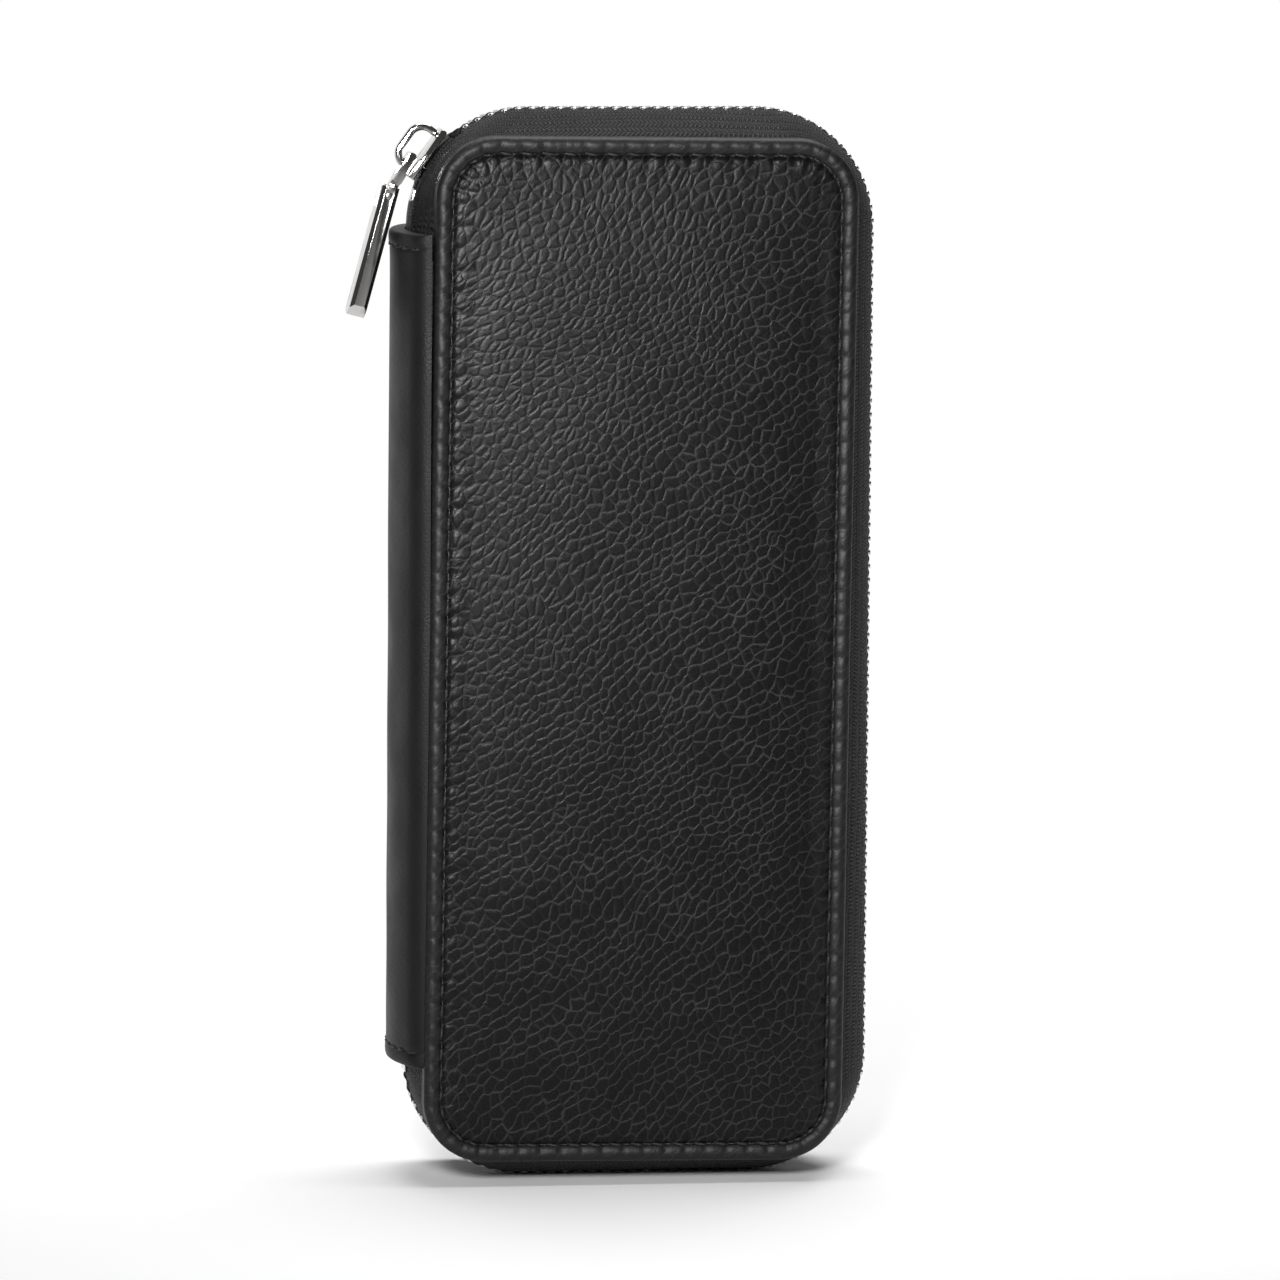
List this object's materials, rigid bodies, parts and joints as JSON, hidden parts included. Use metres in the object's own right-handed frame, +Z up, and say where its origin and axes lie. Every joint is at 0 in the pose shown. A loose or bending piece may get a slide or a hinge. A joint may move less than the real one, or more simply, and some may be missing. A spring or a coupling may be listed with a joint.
{
  "type": "fountain pen case",
  "caption": "Zip-round leather case for fountain pens, standing on its zip, with a folding spine, stitched panels, inner pen loops, a page flap and a metal slider and pull.",
  "frame": {"origin": "middle of the standing base, on the surface that the zip-round edge stands on", "axes": "+Z up along the case's height, -Y out of the front panel, -X towards the spine"},
  "size_m": [0.0852, 0.028, 0.173],
  "materials": {
    "grained_leather": "black pebbled grain, satin",
    "smooth_leather": "black, smooth and satin",
    "wadding": "pressed felt wadding",
    "board": "grey-brown stiffening board",
    "lining_cloth": "dark fine twill",
    "zip_tape": "black herringbone tape",
    "zip_teeth": "dark plated metal",
    "thread": "black waxed thread",
    "elastic": "ribbed black elastic",
    "nickel": "polished nickel plate"
  },
  "bodies": {
    "rear_half": {"rear_leather": "grained_leather", "rear_padding": "wadding", "rear_board": "board", "rear_lining": "lining_cloth", "rear_zip_tape": "zip_tape", "rear_zip_teeth": "zip_teeth", "rear_end_stop": "zip_teeth", "rear_stitching": "thread", "pen_backing": "smooth_leather", "upper_pen_loops": "elastic", "lower_pen_loops": "elastic"},
    "spine": {"spine_lining": "lining_cloth", "spine_board": "board", "lower_spine_hem": "smooth_leather", "upper_spine_hem": "smooth_leather", "spine_leather": "smooth_leather", "zip_tail": "zip_tape", "zip_top_stop": "zip_teeth"},
    "front_half": {"front_leather": "grained_leather", "front_padding": "wadding", "front_board": "board", "front_lining": "lining_cloth", "front_zip_tape": "zip_tape", "front_zip_teeth": "zip_teeth", "front_end_stop": "zip_teeth", "front_stitching": "thread", "slip_pocket": "smooth_leather"},
    "flap": {"pen_flap": "smooth_leather"},
    "slider": {"slider_body": "nickel", "slider_bail": "nickel"},
    "link": {"pull_link": "nickel"},
    "tab": {"pull_tab": "nickel", "pull_pin": "nickel"}
  },
  "joints": [
    {"name": "spine_fold", "type": "hinge", "parent": "rear_half", "child": "spine", "pos_m": [-0.0355, 0.0112, 0.0863], "axis": [0, 0, -1], "range_deg": [0, 90]},
    {"name": "cover_fold", "type": "hinge", "parent": "spine", "child": "front_half", "pos_m": [-0.0355, -0.0112, 0.0863], "axis": [0, 0, -1], "range_deg": [0, 90]},
    {"name": "flap_lift", "type": "hinge", "parent": "front_half", "child": "flap", "pos_m": [-0.0273, -0.0078, 0.0863], "axis": [0, 0, 1], "range_deg": [0, 25]},
    {"name": "slider_travel", "type": "hinge", "parent": "spine", "child": "slider", "pos_m": [-0.01725, 0, 0.1536], "axis": [0, 1, 0], "range_deg": [0, 22]},
    {"name": "link_swing", "type": "hinge", "parent": "slider", "child": "link", "pos_m": [-0.0359, 0, 0.16493], "axis": [0, 1, 0], "range_deg": [0, 90]},
    {"name": "tab_swing", "type": "hinge", "parent": "link", "child": "tab", "pos_m": [-0.03972, 0, 0.15882], "axis": [0, 1, 0], "range_deg": [0, 120]}
  ],
  "couplings": [
    {"joint": "cover_fold", "follows": "spine_fold", "ratio": 1},
    {"joint": "flap_lift", "follows": "spine_fold", "ratio": 0.25}
  ]
}
